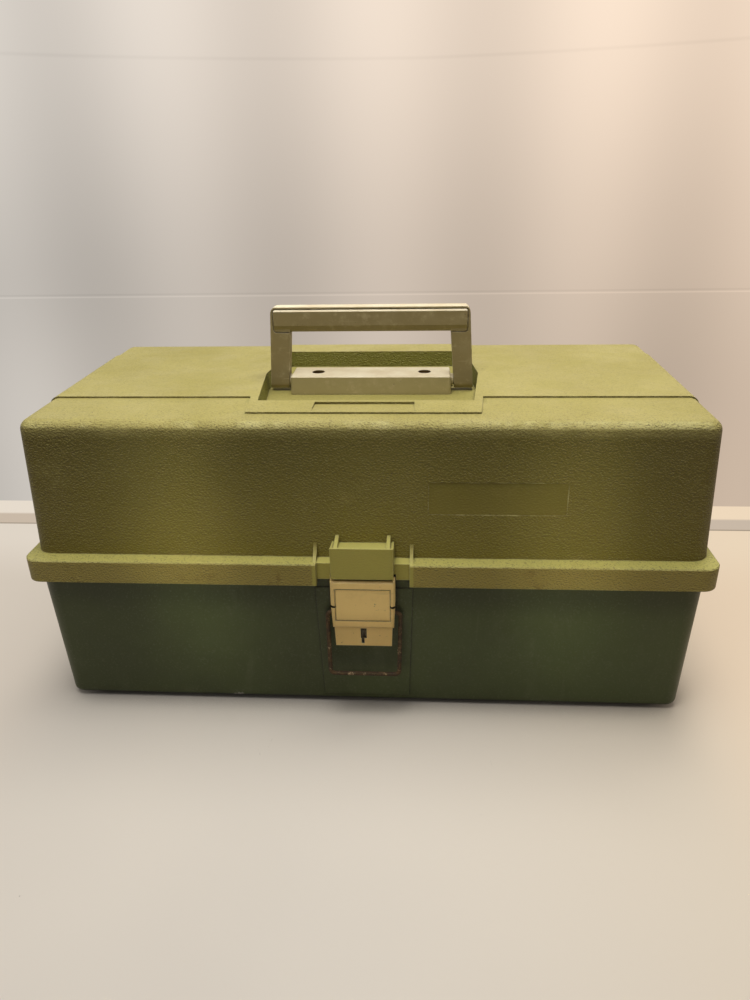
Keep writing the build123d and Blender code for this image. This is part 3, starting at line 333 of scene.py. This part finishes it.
def base_finish():
    """Dark green plastic, nearly smooth, with dull wipes partly painted as reflection bands, dust low down,
    pale scuffs on edges partly painted as highlights, and painted shade under the rim, behind the latch, in
    corners and along the bottom.
    """
    f = Finish(bpy.data.materials.new("forest_moulding"))
    tone = f.noise(7.0, 4.0, 0.6)
    colour = f.blend(f.ramp(tone, 0.32, 0.70), forest_deep, forest)
    # Painted shade under the rim: darker towards the top
    colour = f.blend(f.ramp(f.z, base_shade_low, base_shade_high, 0.0, 0.55), colour, forest_shade)
    # Painted shadow of the latch on the panel behind it
    colour = f.blend(f.times(f.inside(latch_shadow_box, 5 * mm), 0.5), colour, forest_shade)
    # Pale upright wipes, partly painted reflection bands
    wipes_and_sheen = f.times(f.ramp(f.noise(*wipe_and_sheen_grain), 0.52, 0.75), 0.20)
    colour = f.blend(wipes_and_sheen, colour, forest_pale)
    dust = f.times(f.ramp(f.z, dust_high, dust_low), f.ramp(f.noise(60.0, 3.0, 0.7), 0.45, 0.7), 0.18)
    colour = f.blend(dust, colour, forest_pale)
    scratches = f.times(f.ramp(f.noise(*upright_lines), 0.70, 0.76), 0.16)
    colour = f.blend(scratches, colour, forest_pale)
    chalky = f.ramp(f.noise(420.0, 3.0, 0.7), 0.42, 0.58)
    colour = f.blend(f.times(f.inside(scuff_box, 1.2 * mm), chalky, 0.8), colour, paper)
    # Pale worn edges, partly painted highlights
    worn_and_lit_edges = f.times(f.edges(0.8 * mm), f.ramp(f.noise(85.0, 3.0, 0.6), 0.45, 0.62), 0.5)
    colour = f.blend(worn_and_lit_edges, colour, forest_pale)
    # Painted shade in corners and round the wire
    corner_shade = f.ramp(f.openness(5 * mm), 0.96, 0.62, 0.0, 0.75)
    colour = f.blend(corner_shade, colour, near_black)
    # Painted shadow along the bottom: down-facing faces and the lowest edge near black
    bottom_shadow = f.math("MAXIMUM", f.ramp(f.up, -0.25, -0.75), f.ramp(f.z, 2.6 * mm, 1.4 * mm))
    bottom_shadow = f.times(bottom_shadow, f.ramp(f.z, 6 * mm, 4 * mm), 0.92)
    colour = f.blend(bottom_shadow, colour, near_black)
    fine_grain = f.ramp(f.noise(640.0, 2.0, 0.6), 0.52, 0.75, 0.0, 0.22)
    colour = f.blend(fine_grain, colour, forest_pale)
    height = f.math("ADD", f.noise(900.0, 2.0, 0.5), f.times(f.noise(120.0, 2.0, 0.5), 0.6))
    normal = f.bump(height, 0.10, 0.4 * mm, 0.6 * mm)
    roughness = f.ramp(f.noise(30.0, 4.0, 0.65), 0.25, 0.75, 0.36, 0.52)
    return f.finish(colour, roughness, normal, specular=0.30)


def fitting_finish(name, tones, grain, holes=(), hole_tone=near_black, lit=None):
    """Aged pale plastic: sides and corners in painted shade, handled edges partly painted as highlights,
    fine scratches, and holes that are dirty or painted near black as shade.
    """
    middle, deep, side, pale = tones
    f = Finish(bpy.data.materials.new(name))
    colour = f.blend(f.ramp(f.noise(34.0, 4.0, 0.6), 0.34, 0.68), deep, middle)
    # Painted light: the shaded sides grow lighter upwards, from low to high
    if lit:
        low, high, lit_colour = lit
        side = f.blend(f.ramp(f.z, low, high), side, lit_colour)
    # Painted shade: faces turned away from up take the darker side colour
    uneven = f.ramp(f.noise(48.0, 3.0, 0.6), 0.15, 0.55, 0.90, 1.0)
    colour = f.blend(f.times(f.ramp(f.up, 0.85, 0.35), uneven), colour, side)
    dirt = f.times(f.ramp(f.noise(130.0, 5.0, 0.72), 0.50, 0.76), 0.30)
    colour = f.blend(dirt, colour, deep)
    streaks = f.noise(*level_streaks)
    scratches = f.times(f.ramp(streaks, 0.66, 0.74), 0.35)
    colour = f.blend(scratches, colour, deep)
    # Painted shade in corners
    corner_shade = f.times(f.ramp(f.openness(2.5 * mm), 0.80, 0.35), 0.55)
    colour = f.blend(corner_shade, colour, grime_and_shade)
    specks = f.times(f.ramp(f.noise(520.0, 2.0, 0.5), 0.72, 0.76), 0.6)
    colour = f.blend(specks, colour, grime_and_shade)
    # Pale worn edges, partly painted highlights
    worn_and_lit_edges = f.times(f.edges(0.7 * mm), f.ramp(f.noise(110.0, 3.0, 0.6), 0.35, 0.58), 0.7)
    colour = f.blend(worn_and_lit_edges, colour, pale)
    # Holes take their tone: dirt in the bar's seats, painted near-black shade in the lever's keyhole and
    # notches
    for hole in holes:
        colour = f.blend(f.inside(hole, 0.1 * mm), colour, hole_tone)
    height = f.math("ADD", f.noise(700.0, 2.0, 0.5), f.times(streaks, 0.5))
    normal = f.bump(height, grain, 0.4 * mm, 0.6 * mm)
    roughness = f.ramp(f.noise(55.0, 3.0, 0.6), 0.25, 0.75, 0.38, 0.56)
    return f.finish(colour, roughness, normal, specular=0.45)


def wire_finish():
    """Rusted wire: dark scale, brown bloom and a few rubbed bright runs, partly painted highlights."""
    f = Finish(bpy.data.materials.new("rusted_wire"))
    scale = f.noise(260.0, 5.0, 0.7)
    colour = f.blend(f.ramp(scale, 0.36, 0.66), rust_dark, rust)
    # Rubbed bright runs, partly painted highlights
    rubbed_and_sheen = f.times(f.ramp(f.noise(210.0, 4.0, 0.75), 0.57, 0.70), 0.7)
    colour = f.blend(rubbed_and_sheen, colour, rust_bright)
    normal = f.bump(scale, 0.55, 0.5 * mm, 0.2 * mm)
    roughness = f.ramp(rubbed_and_sheen, 0.0, 1.0, 0.78, 0.48)
    metallic = f.ramp(rubbed_and_sheen, 0.0, 1.0, 0.15, 0.65)
    return f.finish(colour, roughness, normal, metallic)


def metal_finish(name, bright, dull, rough):
    """Drawn metal with a dull film and fine lines along X."""
    f = Finish(bpy.data.materials.new(name))
    film = f.noise(75.0, 4.0, 0.65)
    colour = f.blend(f.ramp(film, 0.35, 0.70), bright, dull)
    normal = f.bump(f.noise(*drawn_lines), 0.12, 0.2 * mm, 0.2 * mm)
    roughness = f.ramp(film, 0.30, 0.75, rough, rough + 0.22)
    return f.finish(colour, roughness, normal, metallic=0.9)


def tray_finish():
    """Tan moulded trays with faint flow marks, corners in painted shade and worn edges."""
    f = Finish(bpy.data.materials.new("tan_trays"))
    flow = f.noise(*flow_marks)
    colour = f.blend(f.ramp(flow, 0.35, 0.68), tray_shade, tray_tan)
    # Painted shade in corners
    corner_shade = f.times(f.ramp(f.openness(6 * mm), 0.75, 0.30), 0.35)
    colour = f.blend(corner_shade, colour, grime_and_shade)
    specks = f.times(f.ramp(f.noise(240.0, 3.0, 0.6), 0.68, 0.74), 0.4)
    colour = f.blend(specks, colour, grime_and_shade)
    colour = f.blend(f.times(f.edges(0.7 * mm), 0.45), colour, cream_pale)
    normal = f.bump(f.noise(800.0, 2.0, 0.5), 0.10, 0.3 * mm, 0.5 * mm)
    roughness = f.ramp(flow, 0.30, 0.70, 0.40, 0.55)
    return f.finish(colour, roughness, normal, specular=0.45)


def dress(finish, *names):
    """Gives nodes one finish."""
    for name in names:
        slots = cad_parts[name].data.materials
        slots.clear()
        slots.append(finish)


# Holes: the bar's screw seats hold dirt, and the lever's keyhole and side notches are painted near black as
# shade
seat_distance = 43 * mm
seat_radius = 5.6 * mm
seat_depth = 8 * mm
seat_lip = 0.35 * mm
bar_middle = (bar_low[1] + bar_high[1]) / 2
screw_seats = []
for seat in (-seat_distance, seat_distance):
    seat_x = (seat - seat_radius, seat + seat_radius)
    seat_y = (bar_middle - seat_radius, bar_middle + seat_radius)
    seat_z = (bar_high[2] - seat_depth, bar_high[2] - seat_lip)
    screw_seats.append((seat_x, seat_y, seat_z))

lever_front, lever_foot, lever_top = lever_low[1], lever_low[2], lever_high[2]
keyhole_x = (-2.7 * mm, 2.7 * mm)
keyhole_y = (lever_front + 1.1 * mm, lever_front + 4.2 * mm)
keyhole_z = (lever_foot + 1.6 * mm, lever_foot + 15.6 * mm)
notch_distance = 21.4 * mm
notch_half = 1.9 * mm
notch_y = (lever_front + 0.15 * mm, lever_front + 6 * mm)
notch_z = (lever_top - 22.25 * mm, lever_top - 20.35 * mm)
lever_holes = [(keyhole_x, keyhole_y, keyhole_z)]
for notch in (-notch_distance, notch_distance):
    lever_holes.append(((notch - notch_half, notch + notch_half), notch_y, notch_z))

handle_tones = (cream, cream_deep, cream_side_shade, cream_pale)
bar_tones = (cream, cream_deep, cream_bar_side_shade, cream_pale)
lever_tones = (tan_plastic, tan_deep, tan_side_shade, tan_pale)
# Painted light on the lever's upper sides
lever_lit_rise = (78 * mm, 98 * mm, tan_lit)
steel_nodes = (
    "hinge_pin_left",
    "hinge_pin_right",
    "latch_lever_pin",
    "rear_arm_left",
    "rear_arm_right",
    "front_arm_left",
    "front_arm_right",
    "arm_foot_rivets",
    "tray_lower_rivets",
    "tray_middle_rivets",
    "tray_upper_rivets",
    "lid_link_pins",
)
dress(lid_finish(), "lid_shell")
dress(base_finish(), "base_shell", "latch_bracket")
dress(fitting_finish("cream_handle", handle_tones, grain=0.16), "handle")
dress(fitting_finish("cream_bar_side_shade", bar_tones, 0.12, screw_seats, seat_soil), "handle_mount_bar")
dress(fitting_finish("tan_lever", lever_tones, 0.10, lever_holes, lit=lever_lit_rise), "latch_lever")
dress(wire_finish(), "latch_bail")
dress(metal_finish("rusted_screws", rust, rust_dark, rough=0.62), "handle_screws")
dress(metal_finish("dark_lock_metal", brass, brass_dull, rough=0.35), "lock_cam", "lock_cap")
dress(metal_finish("plain_steel", steel, steel_dull, rough=0.30), *steel_nodes)
dress(tray_finish(), "tray_lower", "tray_middle", "tray_upper")


# Floor: a pale sheet with a seam and a pale ledge along its back. It throws back less light than it shows.
floor_half = 12.0
floor_back = 250 * mm
bounce_share = 0.42
paper_warm_left, paper_warm_right = -0.05, 0.55
glow_warm_left, glow_warm_right = -0.2, 0.4
near_front, near_back = 50 * mm, 160 * mm
glow_front, sheet_back, seam_back = 183 * mm, 186 * mm, 190 * mm
line_front, line_back = 185.5 * mm, 188.5 * mm
ledge_front, ledge_back = 211 * mm, 217 * mm
aside_near, aside_far = 212 * mm, 315 * mm
aside_front, aside_back = -0.46, -0.07
aside_share = 0.75
around_near, around_far = 0.48, 1.15
horizon_near, horizon_far = 0.8, 3.0


def floor_finish():
    """A pale sheet, warmer at the right; away from the object it shows as bright as the surround."""
    f = Finish(bpy.data.materials.new("pale_sheet"))
    seen = f.seen()

    # The lit sheet, with marks and painted shade round the object's foot
    mottle = f.ramp(f.noise(2.2, 3.0, 0.5), 0.3, 0.7)
    colour = f.blend(mottle, paper_shade, paper)
    colour = f.blend(f.ramp(f.x, paper_warm_left, paper_warm_right), colour, paper_warm)
    # Painted shade round the object's foot
    foot_shade = f.ramp(f.openness(30 * mm, samples=8), 0.85, 0.35, 0.0, 0.45)
    colour = f.blend(foot_shade, colour, near_black)
    marks = f.ramp(f.noise(*table_marks), 0.725, 0.755, 0.0, 0.45)
    colour = f.blend(marks, colour, grime_and_shade)
    dim = f.blend(1.0 - bounce_share, colour, near_black)
    lit = f.node("ShaderNodeBsdfDiffuse", {"Color": f.blend(seen, dim, colour)})

    # Its own brightness: seam and ledge at the back, painted light on the sheet beside the object, and all
    # that is far
    warmth = f.ramp(f.x, glow_warm_left, glow_warm_right)
    ledge = f.blend(warmth, floor_edge, floor_edge_warm)
    beside = f.blend(warmth, floor_near, floor_near_warm)
    near = f.blend(f.ramp(f.y, near_back, near_front), ledge, beside)
    reach = f.node("ShaderNodeVectorMath", {0: f.place}, operation="LENGTH").outputs["Value"]
    near = f.blend(f.ramp(reach, horizon_near, horizon_far), near, horizon)
    tone = f.blend(f.ramp(f.y, ledge_front, ledge_back), seam_shade, ledge)
    tone = f.blend(f.ramp(f.y, seam_back, sheet_back), tone, near)
    tone = f.blend(f.between(f.y, line_front, line_back, 1 * mm), tone, seam_dark)
    glow = f.node("ShaderNodeEmission", {"Color": tone, "Strength": 1.0})
    # Painted light: beside the object the sheet glows, lifting its shade
    aside = f.ramp(f.math("ABSOLUTE", f.x), aside_near, aside_far)
    aside = f.times(aside, f.ramp(f.y, aside_front, aside_back), aside_share)
    far = f.math("MAXIMUM", aside, f.ramp(f.y, glow_front, sheet_back))
    far = f.times(f.math("MAXIMUM", far, f.ramp(reach, around_near, around_far)), seen)
    either = f.node("ShaderNodeMixShader", {0: far, 1: lit.outputs[0], 2: glow.outputs[0]})
    f.node("ShaderNodeOutputMaterial", {"Surface": either.outputs[0]})
    return f.owner


floor_mesh = bpy.data.meshes.new("floor")
floor_corners = [
    (-floor_half, -floor_half, 0.0),
    (floor_half, -floor_half, 0.0),
    (floor_half, floor_back, 0.0),
    (-floor_half, floor_back, 0.0),
]
floor_mesh.from_pydata(floor_corners, [], [(0, 1, 2, 3)])
floor = bpy.data.objects.new("floor", floor_mesh)
bpy.context.scene.collection.objects.link(floor)
floor_mesh.materials.append(floor_finish())


# Light: a wide panel overhead, a weak fill from the front right, and three weak narrow lamps whose upright
# bands fall on the front
band_places = (("left", -0.130, 0.0100), ("middle", 0.012, 0.0030), ("right", 0.146, 0.0095))
band_height = 0.62
band_target_height = 0.145
band_start = -1.15
band_target = -0.12


def panel(name, place, target, size, power, colour, spread=180):
    """A flat lamp at a place that shines at a target."""
    lamp = bpy.data.lights.new(name, "AREA")
    lamp.spread = radians(spread)
    lamp.shape = "RECTANGLE"
    lamp.size, lamp.size_y = size
    lamp.energy = power
    lamp.color = colour
    lamp_object = bpy.data.objects.new(name, lamp)
    lamp_object.location = place
    aim = Vector(target) - Vector(place)
    lamp_object.rotation_mode = "QUATERNION"
    lamp_object.rotation_quaternion = aim.to_track_quat("-Z", "Y")
    bpy.context.scene.collection.objects.link(lamp_object)


panel(
    "overhead",
    place=(0.05, -0.09, 1.25),
    target=(0.02, -0.07, 0.1),
    size=(1.35, 0.42),
    power=14.9,
    colour=(1.0, 0.955, 0.88),
)
panel(
    "front_fill",
    place=(0.5, -1.5, 0.8),
    target=(0.0, 0.0, 0.1),
    size=(1.2, 0.8),
    power=0.6,
    colour=(1.0, 0.90, 0.72),
)
for band, place, power in band_places:
    panel(
        f"band_{band}",
        place=(place, band_start, band_height),
        target=(place, band_target, band_target_height),
        size=(0.02, 0.20),
        power=power,
        colour=(1.0, 0.93, 0.78),
        spread=6,
    )


# Surround: a weak pale light from all round, which shows as a pale wall behind the floor
surround_strength = 0.16
least_back, full_back = 0.2, 0.7
wall_left, wall_right = -0.66, 0.56
wall_high, wall_low = -0.20, 0.19
wall_bright, wall_dark = 1.03, 0.70
crease_low, crease_high, crease_soft, crease_gain = 0.1698, 0.1715, 0.0006, 0.14
groove_low, groove_high, groove_soft, groove_loss = 0.1666, 0.1685, 0.0007, 0.08
fold_low, fold_high, fold_soft, fold_loss = -0.0975, -0.0945, 0.0015, 0.05
fold_lean = 0.01
band_middle = -0.0567
band_width = 0.2543
band_gain = 0.085


def wall_tone(f):
    """The wall by direction: brighter upwards, warm at the right, with folds and soft upright bands."""
    straight = f.node("ShaderNodeVectorMath", {0: f.place}, operation="NORMALIZE").outputs[0]
    x, y, z = f.parts(straight)
    back = f.math("MAXIMUM", y, least_back)
    behind_box = f.ramp(y, least_back, full_back)
    across = f.times(f.math("DIVIDE", x, back), behind_box)
    sink = f.times(z, -1.0)
    tone = f.blend(f.ramp(across, wall_left, wall_right), wall_cool, wall_warm)
    shade = f.ramp(sink, wall_high, wall_low, wall_bright, wall_dark)
    low = f.ramp(sink, 0.10, 0.30)
    left_gain = f.ramp(across, -0.31, -0.53, 0.0, 0.12)
    right_loss = f.ramp(across, -0.07, 0.31, 0.0, 0.11)
    shade = f.math("ADD", shade, f.times(low, left_gain))
    shade = f.math("SUBTRACT", shade, f.times(low, right_loss))
    slope = f.math("DIVIDE", sink, back)
    crease = f.times(f.between(slope, crease_low, crease_high, crease_soft), crease_gain)
    groove = f.times(f.between(slope, groove_low, groove_high, groove_soft), groove_loss)
    fold_place = f.math("ADD", sink, f.times(f.math("ABSOLUTE", across), fold_lean))
    fold = f.times(f.between(fold_place, fold_low, fold_high, fold_soft), fold_loss)
    folds = f.math("SUBTRACT", crease, f.math("ADD", groove, fold))
    turns = f.times(f.math("SUBTRACT", across, band_middle), 2 * pi / band_width)
    bands = f.times(f.math("COSINE", turns), f.ramp(y, 0.55, 0.72, 0.0, band_gain))
    pattern = f.math("ADD", f.times(folds, behind_box), bands)
    return f.scaled(tone, f.times(shade, f.math("ADD", pattern, 1.0)))


world = bpy.data.worlds.new("surround")
bpy.context.scene.world = world
w = Finish(world, "Generated")
surround = w.node("ShaderNodeBackground", {"Color": surround_light, "Strength": surround_strength})
wall = w.node("ShaderNodeBackground", {"Color": wall_tone(w)})
sky = w.node("ShaderNodeMixShader", {0: w.seen(), 1: surround.outputs[0], 2: wall.outputs[0]})
w.node("ShaderNodeOutputWorld", {"Surface": sky.outputs[0]})


# Camera
level_share = cos(camera_pitch)
ahead = Vector((sin(camera_yaw) * level_share, cos(camera_yaw) * level_share, -sin(camera_pitch)))
level_right = Vector((cos(camera_yaw), -sin(camera_yaw), 0.0))
level_down = ahead.cross(level_right)
right = level_right * cos(camera_roll) + level_down * sin(camera_roll)
down = level_down * cos(camera_roll) - level_right * sin(camera_roll)
turn = Matrix((right, -down, -ahead)).transposed().to_4x4()
camera_data = bpy.data.cameras.new("camera")
camera_data.sensor_width = sensor_width
camera_data.lens = focal_pixels * sensor_width / image_height
camera_data.clip_start = 0.01
camera_data.clip_end = 100.0
camera = bpy.data.objects.new("camera", camera_data)
camera.matrix_world = Matrix.Translation(camera_place) @ turn
bpy.context.scene.collection.objects.link(camera)
bpy.context.scene.camera = camera
bpy.context.scene.view_settings.view_transform = "Standard"
